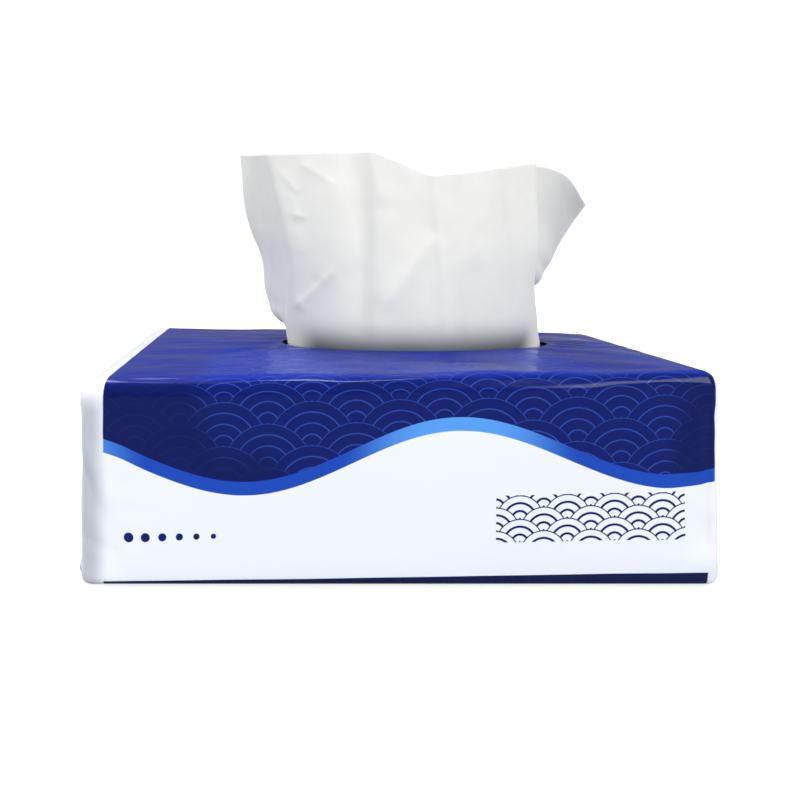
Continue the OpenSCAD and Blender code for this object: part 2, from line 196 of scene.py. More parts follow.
def scallops(tree, x, girth, radius, ring, line):
    # Rows of arcs half a radius apart, every other row shifted by a radius. A point belongs to the
    # disc of its own row, or past that disc to the row behind, and rings repeat inward from the rim.
    row = addNode(tree, "Math", {0: girth, 1: radius / 2}, operation="DIVIDE")[0]
    row = addNode(tree, "Math", {0: row}, operation="FLOOR")[0]
    low = addNode(tree, "Math", {0: girth, 1: radius / 2, 2: 0.0}, operation="WRAP")[0]
    rise = addNode(tree, "Math", {0: low, 1: radius / 2}, operation="ADD")[0]
    shift = addNode(tree, "Math", {0: row, 1: 1.0}, operation="PINGPONG")[0]
    along = addNode(tree, "Math", {0: shift, 1: -radius, 2: x}, operation="MULTIPLY_ADD")[0]
    along = addNode(tree, "Math", {0: along, 1: aside * radius}, operation="ADD")[0]
    near = addNode(tree, "Math", {0: along, 1: radius}, operation="PINGPONG")[0]
    far = addNode(tree, "Math", {0: radius, 1: near}, operation="SUBTRACT")[0]
    frontWay = addNode(tree, "CombineXYZ", {0: near, 1: rise})[0]
    backWay = addNode(tree, "CombineXYZ", {0: far, 1: low})[0]
    front = addNode(tree, "VectorMath", {0: frontWay}, operation="LENGTH")[1]
    back = addNode(tree, "VectorMath", {0: backWay}, operation="LENGTH")[1]
    inFront = addNode(tree, "Math", {0: front, 1: radius}, operation="LESS_THAN")[0]
    away = addNode(tree, "Mix", {0: inFront, 2: back, 3: front}, data_type="FLOAT")[0]
    inward = addNode(tree, "Math", {0: radius, 1: away}, operation="SUBTRACT")[0]
    off = addNode(tree, "Math", {0: inward, 1: ring / 2}, operation="PINGPONG")[0]
    blur = 0.1
    return addNode(tree, "MapRange", {0: off, 1: line / 2 + blur, 2: line / 2 - blur},
                   interpolation_type="SMOOTHSTEP")[0]


def printedFilmMaterial():
    # Co-extruded polyethylene film, gravure printed on the outside: smooth and glossy, with soft
    # wrinkles that break up its reflections. White film is slightly bluish.
    material, tree, shader = newMaterial("gravurePrintedPolyethylene", 0.16, 1.5, 0.13)
    size, soft, softEnd = printSizes, printSizes["soft"], printSizes["softEnd"]
    places = addNode(tree, "UVMap", {}, uv_map="sheetPlaces")[0]
    split = addNode(tree, "SeparateXYZ", {0: places})
    x = addNode(tree, "Math", {0: split[0], 1: filmMap["wide"], 2: filmMap["left"]},
                operation="MULTIPLY_ADD")[0]
    girth = addNode(tree, "Math", {0: split[1], 1: filmMap["long"], 2: filmMap["low"]},
                    operation="MULTIPLY_ADD")[0]
    rear = addNode(tree, "Math", {0: pack["depth"], 1: girth}, operation="SUBTRACT")[0]
    # Height over the nearer top edge
    level = addNode(tree, "Math", {0: girth, 1: rear}, operation="MINIMUM")[0]
    left, right = size["left"], size["right"]
    inside = addNode(tree, "MapRange", {0: x, 1: left - softEnd, 2: left + softEnd})[0]
    inside = addNode(tree, "MapRange", {0: x, 1: right + softEnd, 2: right - softEnd, 4: inside})[0]

    # Dark field with a waved lower edge, a lighter band along it, and a stripe by the base
    angle = addNode(tree, "Math", {0: x, 1: 2 * math.pi / size["period"], 2: math.radians(size["start"])},
                    operation="MULTIPLY_ADD")[0]
    wave = addNode(tree, "Math", {0: angle}, operation="SINE")[0]
    edge = addNode(tree, "Math", {0: wave, 1: -size["wave"], 2: size["drop"]}, operation="MULTIPLY_ADD")[0]
    edge = addNode(tree, "Math", {0: edge, 1: level}, operation="ADD")[0]
    field = addNode(tree, "MapRange", {0: edge, 1: -soft, 2: soft, 4: inside})[0]
    wide = size["band"]
    band = addNode(tree, "MapRange", {0: edge, 1: -wide - soft, 2: -wide + soft, 4: inside})[0]
    top, foot = size["stripe"]
    right = size["stripeRight"]
    stripe = addNode(tree, "MapRange", {0: level, 1: -top, 2: -top - 2 * soft, 4: inside})[0]
    stripe = addNode(tree, "MapRange", {0: level, 1: -foot, 2: -foot + 2 * soft, 4: stripe})[0]
    stripe = addNode(tree, "MapRange", {0: x, 1: right + softEnd, 2: right - softEnd, 4: stripe})[0]
    drift = addNode(tree, "TexNoise", {"Vector": places, "Scale": 5.0, "Detail": 1.0},
                    noise_dimensions="2D")[0]
    starts, ends, least, most = size["fade"]
    fade = addNode(tree, "MapRange", {0: drift, 1: starts, 2: ends, 3: least, 4: most},
                   interpolation_type="SMOOTHSTEP")[0]
    # Painted light: the top of the pack takes the lighter, more vivid copies of the field's tones
    onTop = addNode(tree, "MapRange", {0: level, 1: -1.5, 2: 3.5}, interpolation_type="SMOOTHSTEP")[0]
    deep, plain = hexLinear(size["fieldDeep"]), hexLinear(size["field"])
    litTopDeep, litTopPlain = hexLinear(size["litFieldTopDeep"]), hexLinear(size["litFieldTop"])
    sideTone = addNode(tree, "Mix", {0: fade, 6: deep, 7: plain}, data_type="RGBA")[2]
    litTopTone = addNode(tree, "Mix", {0: fade, 6: litTopDeep, 7: litTopPlain}, data_type="RGBA")[2]
    tone = addNode(tree, "Mix", {0: onTop, 6: sideTone, 7: litTopTone}, data_type="RGBA")[2]
    lines = scallops(tree, x, girth, size["scallop"], size["ring"], size["line"])
    lines = addNode(tree, "Math", {0: lines, 1: fade}, operation="MULTIPLY")[0]
    dark = addNode(tree, "Mix", {0: lines, 6: tone, 7: hexLinear(size["patternLine"])}, data_type="RGBA")[2]
    crest = addNode(tree, "MapRange", {0: wave, 1: -0.2, 2: 1.0}, interpolation_type="SMOOTHSTEP")[0]
    bandDark, bandLight = hexLinear(size["bandDark"]), hexLinear(size["bandLight"])
    bandTone = addNode(tree, "Mix", {0: crest, 6: bandDark, 7: bandLight}, data_type="RGBA")[2]

    # Plain ornament on the white front: a short strip of scallops, and a row of dots that shrink
    left, right, low, high = size["strip"]
    strip = scallops(tree, x, girth, size["stripScallop"], size["stripScallop"] / 3, size["stripLine"])
    strip = addNode(tree, "MapRange", {0: x, 1: left - soft, 2: left + soft, 4: strip})[0]
    strip = addNode(tree, "MapRange", {0: x, 1: right + soft, 2: right - soft, 4: strip})[0]
    strip = addNode(tree, "MapRange", {0: girth, 1: low - soft, 2: low + soft, 4: strip})[0]
    strip = addNode(tree, "MapRange", {0: girth, 1: high + soft, 2: high - soft, 4: strip})[0]
    first, last, dotGirth = size["dots"]
    fromFirst = addNode(tree, "Math", {0: x, 1: aside}, operation="ADD")[0]
    dotX = addNode(tree, "Math", {0: fromFirst, 1: size["dotPitch"] / 2}, operation="PINGPONG")[0]
    dotY = addNode(tree, "Math", {0: girth, 1: dotGirth}, operation="SUBTRACT")[0]
    dotWay = addNode(tree, "CombineXYZ", {0: dotX, 1: dotY})[0]
    dotOff = addNode(tree, "VectorMath", {0: dotWay}, operation="LENGTH")[1]
    dotEdge = addNode(tree, "Math", {0: x, 1: size["dotShrink"], 2: dotOff}, operation="MULTIPLY_ADD")[0]
    dots = addNode(tree, "MapRange", {0: dotEdge, 1: size["dotStart"] + soft, 2: size["dotStart"] - soft})[0]
    dots = addNode(tree, "MapRange", {0: x, 1: first - soft, 2: first + soft, 4: dots})[0]
    dots = addNode(tree, "MapRange", {0: x, 1: last + soft, 2: last - soft, 4: dots})[0]
    marks = addNode(tree, "Math", {0: strip, 1: dots}, operation="MAXIMUM")[0]

    # Painted shade: by the left end the white of the front and rear turns grey, for the shade of the dents
    # there
    high, low = size["marginShadeTop"]
    marginShadeShare = addNode(tree, "MapRange", {0: level, 1: high, 2: low}, interpolation_type="SMOOTHSTEP")[0]
    right, left = size["left"] + size["marginShadeSide"][0], size["left"] + size["marginShadeSide"][1]
    marginShadeShare = addNode(tree, "MapRange", {0: x, 1: right, 2: left, 4: marginShadeShare},
                        interpolation_type="SMOOTHSTEP")[0]
    left, right = size["marginShadeEnd"]
    marginShadeShare = addNode(tree, "MapRange", {0: x, 1: left, 2: right, 4: marginShadeShare},
                        interpolation_type="SMOOTHSTEP")[0]
    white, marginShade = hexLinear(size["white"]), hexLinear(size["marginShade"])
    colour = addNode(tree, "Mix", {0: marginShadeShare, 6: white, 7: marginShade}, data_type="RGBA")[2]
    colour = addNode(tree, "Mix", {0: band, 6: colour, 7: bandTone}, data_type="RGBA")[2]
    colour = addNode(tree, "Mix", {0: field, 6: colour, 7: dark}, data_type="RGBA")[2]
    stripeColour = hexLinear(size["stripeColour"])
    colour = addNode(tree, "Mix", {0: stripe, 6: colour, 7: stripeColour}, data_type="RGBA")[2]
    colour = addNode(tree, "Mix", {0: marks, 6: colour, 7: hexLinear(size["field"])}, data_type="RGBA")[2]
    tree.links.new(colour, shader.inputs["Base Color"])
    addFilmWrinkles(tree, shader, 1.0)
    return material


def addFilmWrinkles(tree, shader, strength):  # long pulls of the film, 60 by 14 mm, and fine ones, 8 by 3 mm
    place = addNode(tree, "TexCoord", {})["Object"]
    long = addNode(tree, "Mapping", {"Vector": place, "Scale": (16.0, 70.0, 70.0)})[0]
    broad = addNode(tree, "TexNoise", {"Vector": long, "Scale": 1.0, "Detail": 2.0, "Roughness": 0.4,
                                       "Distortion": 0.3})[0]
    short = addNode(tree, "Mapping", {"Vector": place, "Scale": (120.0, 320.0, 320.0)})[0]
    fine = addNode(tree, "TexNoise", {"Vector": short, "Scale": 1.0, "Detail": 2.0, "Roughness": 0.5})[0]
    first = addNode(tree, "Bump", {"Strength": 0.5 * strength, "Distance": 0.0006, "Height": broad})[0]
    second = addNode(tree, "Bump", {"Strength": 0.2 * strength, "Distance": 0.0001, "Height": fine,
                                    "Normal": first})[0]
    tree.links.new(second, shader.inputs["Normal"])


def bareFilmMaterial():
    # The same polyethylene film without ink: milky white and glossy, cloudy where it lies double
    material, tree, shader = newMaterial("milkyPolyethylene", 0.24, 1.5, 0.4)
    place = addNode(tree, "TexCoord", {})["Object"]
    cloud = addNode(tree, "TexNoise", {"Vector": place, "Scale": 60.0, "Detail": 2.0})[0]
    bare, bareCloud = hexLinear(printSizes["bare"]), hexLinear(printSizes["bareCloud"])
    tone = addNode(tree, "Mix", {0: cloud, 6: bare, 7: bareCloud}, data_type="RGBA")[2]
    tree.links.new(tone, shader.inputs["Base Color"])
    addFilmWrinkles(tree, shader, 0.8)
    return material


tissueTones = {
    "paper": "#EAEAE5", "shade": "#E0E1DC",
    # Painted shade, blue-grey as if cast by the dark film, near that film: between two heights, and only on
    # the front run of the sheet
    "foot": "#404959", "footShadeShare": 1.0, "footShadeLow": 0.0595, "footShadeHigh": 0.0765,
    "footShadeFront": -0.006, "footShadeBack": 0.002,
}


def tissueMaterial(name, standing, flat):
    # Two-ply creped facial tissue: matt, soft white, with fine crepe lines across the sheet and a
    # cloudy thickness. Crepe is 0.3 mm on the real sheet and drawn at 1.1 mm, so that it shows.
    material, tree, shader = newMaterial(name, 0.92, 1.45, 0.25)
    shader.inputs["Sheen Weight"].default_value = 0.15
    shader.inputs["Sheen Roughness"].default_value = 0.6
    place = addNode(tree, "TexCoord", {})["Object"]
    cloud = addNode(tree, "TexNoise", {"Vector": place, "Scale": 160.0, "Detail": 3.0, "Roughness": 0.6})[0]
    shade, paper = hexLinear(tissueTones["shade"]), hexLinear(tissueTones["paper"])
    tone = addNode(tree, "Mix", {0: cloud, 6: shade, 7: paper}, data_type="RGBA")[2]
    # Painted shade: a standing sheet darkens to blue-grey at its foot, by the slot
    if standing:
        split = addNode(tree, "SeparateXYZ", {0: place})
        tones, foot = tissueTones, hexLinear(tissueTones["foot"])
        front = addNode(tree, "MapRange", {0: split[1], 1: tones["footShadeBack"], 2: tones["footShadeFront"],
                                           4: tones["footShadeShare"]}, interpolation_type="SMOOTHSTEP")[0]
        share = addNode(tree, "MapRange", {0: split[2], 1: tones["footShadeLow"], 2: tones["footShadeHigh"],
                                           3: front, 4: 0.0}, interpolation_type="SMOOTHERSTEP")[0]
        tone = addNode(tree, "Mix", {0: share, 6: tone, 7: foot}, data_type="RGBA")[2]
    tree.links.new(tone, shader.inputs["Base Color"])
    if flat:  # places are shares of the sheet: 184 mm across, 200 mm along
        where = addNode(tree, "UVMap", {}, uv_map="sheetPlaces")[0]
        stretched, puffs = (30.0, 180.0, 1.0), 28.0
    else:
        where = place
        stretched, puffs = (90.0, 90.0, 900.0), 150.0
    lines = addNode(tree, "Mapping", {"Vector": where, "Scale": stretched})[0]
    crepe = addNode(tree, "TexNoise", {"Vector": lines, "Scale": 1.0, "Detail": 2.0, "Roughness": 0.6})[0]
    puff = addNode(tree, "TexNoise", {"Vector": where, "Scale": puffs, "Detail": 2.0})[0]
    first = addNode(tree, "Bump", {"Strength": 0.12, "Distance": 0.0003, "Height": puff})[0]
    second = addNode(tree, "Bump", {"Strength": 0.22, "Distance": 0.0001, "Height": crepe,
                                    "Normal": first})[0]
    tree.links.new(second, shader.inputs["Normal"])
    return material


pack = {
    "length": 190, "depth": 102, "height": 62, "crown": 1, "twist": 1.5, "swell": 0.8,
    "topRadius": 5, "baseRadius": 2.5, "cornerRadius": 4, "film": 0.2,
    "dentDepth": 0.9, "dentReach": 14,
    "slotLength": 98, "slotWidth": 42, "slotX": 12, "slotY": 4, "lipLift": 1, "teeth": 0.32,
    "endColumns": 30, "cornerColumns": 10, "sideColumns": 60,
    "topRows": 36, "edgeRows": 14, "sideRows": 44, "baseEdgeRows": 8, "baseRows": 5,
    "wrinkle": 1.0,  # share of the wrinkles below, whose heights are in mm
    "rimFold": 0.28, "topPull": 0.26, "topRipple": 0.06, "edgeCrease": 0.34, "sideWave": 0.2, "slack": 0.22,
    "tuckRidge": 0.3, "endWave": 0.2,
    "dents": [  # creases of the long sides: side, from one x, z to another, width and height
        (-1, -96, 39, -86, 17, 1.9, -1.15), (-1, -91, 38, -84, 23, 2.2, 0.6),
        (-1, -91.5, 57, -92, 42, 2.0, -0.9),
        (-1, -96, 15, -83, 9, 2.2, -1.0), (-1, 92, 52, 90.5, 12, 2.4, -1.1), (-1, 95, 30, 84, 22, 2.6, -0.45),
        (1, -95, 50, -86, 30, 3.0, -1.1), (1, -94, 22, -82, 10, 2.8, -0.7), (1, 95, 44, 87, 26, 3.0, -1.1),
        (1, 93, 16, 82, 10, 2.6, -0.9), (1, 20, 3, 34, 12, 3.0, -0.4)],
}
halfLength = pack["length"] / 2
halfDepth = pack["depth"] / 2
baseHeight = pack["film"]

printedFilm = printedFilmMaterial()
bareFilm = bareFilmMaterial()
drawnPaper = tissueMaterial("crepedTissueDrawn", True, True)
foldedPaper = tissueMaterial("crepedTissueFolded", False, True)
stackPaper = tissueMaterial("crepedTissueStack", False, False)
print("stage: materials made")


def columnSteps():  # each column's sides in x and y, and how far along half an end, a corner, half a side
    end, corner, side = pack["endColumns"], pack["cornerColumns"], pack["sideColumns"]
    quarter = end + corner + side
    j = np.arange(4 * quarter)
    half = np.where(j <= 2 * quarter, j, 4 * quarter - j)
    k = np.where(half <= quarter, half, 2 * quarter - half)
    sideX = np.where((j <= quarter) | (j >= 3 * quarter), 1, -1)
    sideY = np.where(j <= 2 * quarter, -1, 1)
    turn = 90 * np.clip((k - end) / corner, 0, 1)
    return sideX, sideY, np.clip(k / end, 0, 1), turn, np.clip((k - end - corner) / side, 0, 1)


def packPlan(inset, steps):  # rounded rectangle drawn in by the inset: half end, quarter circle, half side
    sideX, sideY, endShare, turn, sideShare = steps
    radius = np.maximum(pack["cornerRadius"] - inset, 0.6)
    x = halfLength - inset - radius + radius * np.cos(np.radians(turn))
    y = halfDepth - inset - radius + radius * np.sin(np.radians(turn))
    return sideX * mix(x, 0, sideShare), sideY * y * endShare


def panelHeight(x, y):  # crown times both half-width parabolas, less a saddle twist
    u, v = x / halfLength, y / halfDepth
    return pack["height"] + pack["crown"] * (1 - u * u) * (1 - v * v) - pack["twist"] * u * v


def sideOut(x, z):  # half sine up the panel times a swell in the middle, less a dent near each corner
    u = x / halfLength
    h = np.clip((z - baseHeight) / (pack["height"] - baseHeight), 0, 1)
    off = (halfLength - np.abs(x)) / pack["dentReach"] - 0.5 - 0.6 * h
    return np.sin(np.pi * h) * (pack["swell"] * (1 - u * u) - pack["dentDepth"] * hump(off * 8 ** 0.5))


def filmGrid():  # rows run from the slot's rim over the top edge and down the sides to the middle of the base
    steps = columnSteps()
    sideY, turn = steps[1], steps[3]
    share = ease(turn / 90)
    topR, baseR = pack["topRadius"], pack["baseRadius"]
    edgeX, edgeY = packPlan(0.0, steps)
    innerX, innerY = packPlan(topR, steps)
    angle = np.arctan2(edgeY / halfDepth, edgeX / halfLength)
    teeth = np.where(np.arange(len(angle)) % 2 == 0, pack["teeth"], 0.0)  # torn perforation along the rim
    rimX = pack["slotX"] + (pack["slotLength"] / 2 - teeth) * np.cos(angle)
    rimY = pack["slotY"] + (pack["slotWidth"] / 2 - teeth) * np.sin(angle)
    smoothX = pack["slotX"] + pack["slotLength"] / 2 * np.cos(angle)
    smoothY = pack["slotY"] + pack["slotWidth"] / 2 * np.sin(angle)
    topEdge = panelHeight(edgeX, edgeY)
    rows, girths = [], []

    for i in range(pack["topRows"] + 1):
        t = (i / pack["topRows"]) ** 1.3
        near = (rimX, rimY) if i == 0 else (smoothX, smoothY)
        x, y = mix(near[0], innerX, t), mix(near[1], innerY, t)
        rows.append([x, y, panelHeight(x, y) + pack["lipLift"] * (1 - t) ** 2])
        girths.append(y + halfDepth)
    for i in range(1, pack["edgeRows"] + 1):
        a = math.pi / 2 * i / pack["edgeRows"]
        x, y = packPlan(topR - topR * math.sin(a), steps)
        z = topEdge - topR + topR * math.cos(a)
        rows.append([x, y + sideY * share * sideOut(x, z), z])
        girths.append(np.where(sideY < 0, mix(innerY + halfDepth, -topR, i / pack["edgeRows"]),
                               mix(innerY + halfDepth, pack["depth"] + topR, i / pack["edgeRows"])))
    low = baseHeight + baseR
    for i in range(1, pack["sideRows"] + 1):
        z = mix(topEdge - topR, low, i / pack["sideRows"])
        rows.append([edgeX, edgeY + sideY * share * sideOut(edgeX, z), z])
        girths.append(np.where(sideY < 0, z - topEdge, pack["depth"] + topEdge - z))
    for i in range(1, pack["baseEdgeRows"] + 1):
        a = math.pi / 2 * i / pack["baseEdgeRows"]
        x, y = packPlan(baseR - baseR * math.cos(a), steps)
        z = low - baseR * math.sin(a) + 0 * x
        rows.append([x, y + sideY * share * sideOut(x, z), z])
        down = topEdge - low + baseR * a
        girths.append(np.where(sideY < 0, -down, pack["depth"] + down))
    lastX, lastY, lastZ = rows[-1]
    for i in range(1, pack["baseRows"] + 1):
        t = 1 - i / pack["baseRows"]
        rows.append([lastX * t, lastY * t, lastZ])
        under = down + np.abs(lastY[turn > 89].max()) - np.abs(lastY * t)
        girths.append(np.where(sideY < 0, -under, pack["depth"] + under))
    points = np.array([np.stack(row, axis=-1) for row in rows])
    return points, np.array(girths), turn


def filmRelief(points, girth, turn):  # how far the film stands out of its plain shape, in mm
    x, y, z = points[..., 0], points[..., 1], points[..., 2]
    onTop = ease((z - (pack["height"] - 3.5)) / 2.5)
    onSide = 1 - onTop
    onLong = ease(turn / 90)[None, :] * np.ones_like(x)
    aboveBase = ease((z - baseHeight) / 5)
    slotU = (x - pack["slotX"]) / (pack["slotLength"] / 2)
    slotV = (y - pack["slotY"]) / (pack["slotWidth"] / 2)
    reach = np.sqrt(slotU ** 2 + slotV ** 2)
    around = np.arctan2(slotV, slotU)
    # Tension folds run out from the rim, strongest at the slot's two tips; long low pulls cross the rest
    folds = np.sin(around * 17 + 1.2 * np.sin(3 * around)) * (0.35 + 0.65 * np.abs(np.cos(around)) ** 3)
    relief = onTop * pack["rimFold"] * folds * hump((reach - 1.12) / 0.45) * ease((reach - 1) / 0.12)
    calm = onTop * ease((reach - 1) / 0.5) * ease((halfLength - 4 - np.abs(x)) / 14)
    relief = relief + calm * (pack["topPull"] * softNoise(x * 0.3, y, 22, 3)
                              + pack["topRipple"] * softNoise(x * 0.35, y * 1.2, 8, 4))
    # Sharp crease along each long top edge, where the film was bent round the stack
    for middle, seed in ((0.4, 5), (pack["depth"] - 0.4, 6)):
        line = girth - middle - 0.5 * softNoise(x, 0 * x, 60, seed)
        uneven = 0.75 + 0.25 * softNoise(x, 0 * x, 30, seed + 10)
        relief = relief + onLong * pack["edgeCrease"] * hump(line / 1.05) * uneven
    # Long soft waves of the front and rear, and slack folds near the ends
    relief = relief + onSide * onLong * aboveBase * pack["sideWave"] * softNoise(x, z * 0.7, 46, 8)
    slack = ease((np.abs(x) - 70) / 22) * onLong * onSide * aboveBase
    relief = relief + slack * pack["slack"] * softNoise(x * 0.8, z * 1.4, 17, 12)
    for way, x1, z1, x2, z2, wide, deep in pack["dents"]:
        side = onLong * onSide * aboveBase * (way * y > 0)
        relief = relief + deep * side * creaseShape(x, z, (x1, z1), (x2, z2), wide)
    # Ends: tucks folded in from both sides, with a slanted crease from every corner
    onEnd = (1 - onLong) * onSide
    for way in (-1, 1):
        tuckTop = (pack["height"] - 6 - z) - (halfDepth - way * y) * 0.92
        tuckLow = (z - 3) - (halfDepth - way * y) * 0.92
        ridges = hump(tuckTop / 1.1) + hump(tuckLow / 1.1)
        relief = relief + onEnd * pack["tuckRidge"] * ridges * ease((way * y - 14) / 6)
    relief = relief + onEnd * pack["endWave"] * softNoise(y, z, 21, 21) * aboveBase
    return relief * pack["wrinkle"]


filmPoints, filmGirth, filmTurn = filmGrid()
filmNormal = surfaceNormals(filmPoints, ring=True)
filmNormal[-2:] = (0, 0, -1)
outward = filmPoints - np.array([0, 0, 30])  # from a point inside the pack
filmNormal = filmNormal * np.sign(np.sum(filmNormal * outward, axis=-1, keepdims=True))
relief = filmRelief(filmPoints, filmGirth, filmTurn)
relief[-(pack["baseRows"] + 1):] = 0
filmPoints = filmPoints + filmNormal * relief[..., None]
filmPlaces = np.stack([(filmPoints[..., 0] - filmMap["left"]) / filmMap["wide"],
                       (filmGirth - filmMap["low"]) / filmMap["long"]], axis=-1)
filmMesh = surfaceMesh("filmSkin", filmPoints, filmPlaces, ring=True, pole=True)
finishedPiece("filmSkin", filmMesh, printedFilm, pack["film"], -1, "film_wrapper")
print("stage: film skin made")

flap = {
    "height": 33, "tip": 34, "corner": 4, "rows": 44, "columns": 90,
    "lift": 0.35, "press": 0.12, "wave": 0.14, "foldWave": 0.3, "edgeWave": 0.35,
    "upperAway": 0.5, "lowerAway": 0.82,  # the lower flap lies over the upper one
}


def flapGrid(side, rootHeight, way, away):  # trapezoid from fold to cut edge, lifted at its loose corners
    v, u = np.meshgrid(np.linspace(0, 1, flap["rows"]), np.linspace(-1, 1, flap["columns"]), indexing="ij")
    root = halfDepth - flap["corner"]
    y = u * mix(root, flap["tip"] / 2, v) + flap["foldWave"] * softNoise(v * 30, u * 9, 9, 31) * v
    z = rootHeight + way * (flap["height"] * v + flap["edgeWave"] * np.sin(u * 9 + way) * v * v)
    loose = ease((np.abs(u) - 0.55) / 0.45) * ease((v - 0.3) / 0.5)
    press = hump((v - 0.62) / 0.12) * flap["press"]
    x = halfLength + away + flap["lift"] * loose * (0.6 + 0.4 * np.sin(3 * u)) - press
    x = x + flap["wave"] * softNoise(y, z, 16, 33 + way) * ease(v * 4) + 0.12
    x = np.where(v <= 0.02, halfLength + 0.04, x)
    points = np.stack([side * x, y, z], axis=-1)
    return points, np.stack([(y + 60) / 120, (z + 5) / 80], axis=-1)


for side, label in ((-1, "Left"), (1, "Right")):
    for way, part, root, away in (
        (-1, "Upper", pack["height"] - pack["twist"] - pack["topRadius"], flap["upperAway"]),
        (1, "Lower", baseHeight + pack["baseRadius"], flap["lowerAway"]),
    ):
        points, places = flapGrid(side, root, way, away)
        mesh = surfaceMesh("flap" + part + label, points, places)
        finishedPiece("flap" + part + label, mesh, bareFilm, pack["film"], 0, None)

seam = {"width": 12, "rows": 14, "columns": 120, "height": 0.11, "edgeWave": 0.25}


def seamGrid():  # flat strip along the base, with slightly uneven edges
    v, u = np.meshgrid(np.linspace(-1, 1, seam["rows"]), np.linspace(-1, 1, seam["columns"]), indexing="ij")
    x = u * (halfLength - pack["cornerRadius"])
    y = v * seam["width"] / 2 + seam["edgeWave"] * softNoise(x, v * 4, 30, 41) * np.abs(v)
    places = np.stack([(x + 100) / 200, (y + 10) / 20], axis=-1)
    return np.stack([x, y, np.full_like(x, seam["height"])], axis=-1), places


points, places = seamGrid()
mesh = surfaceMesh("seamLap", points, places)
finishedPiece("seamLap", mesh, bareFilm, pack["film"], 0, None)
print("stage: flaps and seam made")

sheets = {
    "width": 184.0, "thick": 0.22, "layer": 0.5, "layers": 6, "dip": 4.2, "foldY": 46.0, "tuck": 3.0,
    "room": 0.6,  # between the top layer and the film at the pack's low corners
}
stackTop = (pack["height"] - pack["twist"] - pack["film"] - sheets["room"]
            - sheets["layers"] * sheets["layer"])


def layerHeight(y, level):  # dip between the folded edges, plus whole layers above the stack
    top = stackTop - sheets["dip"] * (1 - np.minimum(np.abs(y) / sheets["foldY"], 1) ** 2)
    return top + (level - 0.5) * sheets["layer"]


def foldedPath(start, fold, end, high, low, runs, turns):
    # Along one layer, half a turn round the fold, and back along another
    way = np.sign(fold - start)
    radius = (high - low) * sheets["layer"] / 2
    middle = layerHeight(fold, (high + low) / 2)
    there = np.linspace(0, 1, runs)[:, None]
    turn = np.linspace(0, np.pi, turns + 2)[1:-1, None]
    each = 0 * start
    y1, y2 = mix(start, fold, there), mix(fold + each, end, there)
    y = np.concatenate([y1, fold + way * radius * np.sin(turn) + each, y2])
    z = np.concatenate([layerHeight(y1, high), middle + radius * np.cos(turn) + each, layerHeight(y2, low)])
    return y, z


waiting = {"rows": 60, "turns": 10, "columns": 150, "hump": 3.2, "pucker": 0.35, "rib": 0.5}


def waitingGrid():  # folded path carried along x, with a soft hump and puckers under the slot
    cols = waiting["columns"]
    x = np.linspace(-sheets["width"] / 2, sheets["width"] / 2, cols)[None, :]
    fold = sheets["foldY"]
    y, z = foldedPath(np.full((1, cols), -fold + sheets["tuck"]), fold - sheets["layer"],
                      -fold + 2 * sheets["tuck"], 4.0, 1.0, waiting["rows"], waiting["turns"])
    x = x + 0 * y
    upper = np.zeros_like(y)
    upper[:waiting["rows"]] = 1
    raised = waiting["hump"] * hump((x - 2) / 13) * hump((y - 15) / 7)
    pucker = waiting["pucker"] * softNoise(x, y * 0.5, 16, 51) * hump((x - 8) / 30) * hump((y - 16) / 9)
    rib = waiting["rib"] * hump((x - 3 + 0.25 * (y - 15)) / 1.8) * hump((y - 15) / 8)
    z = z + upper * (raised + pucker + rib)
    points = np.stack([x, y, z], axis=-1)
    places = np.stack([x / sheets["width"] + 0.5, np.linspace(0, 1, len(y))[:, None] + 0 * x], axis=-1)
    return points, places


points, places = waitingGrid()
waitingMesh = surfaceMesh("waitingTissue", points, places)
waitingPiece = finishedPiece("waitingTissue", waitingMesh, foldedPaper, sheets["thick"], 0, "next_tissue")
print("stage: waiting tissue made")

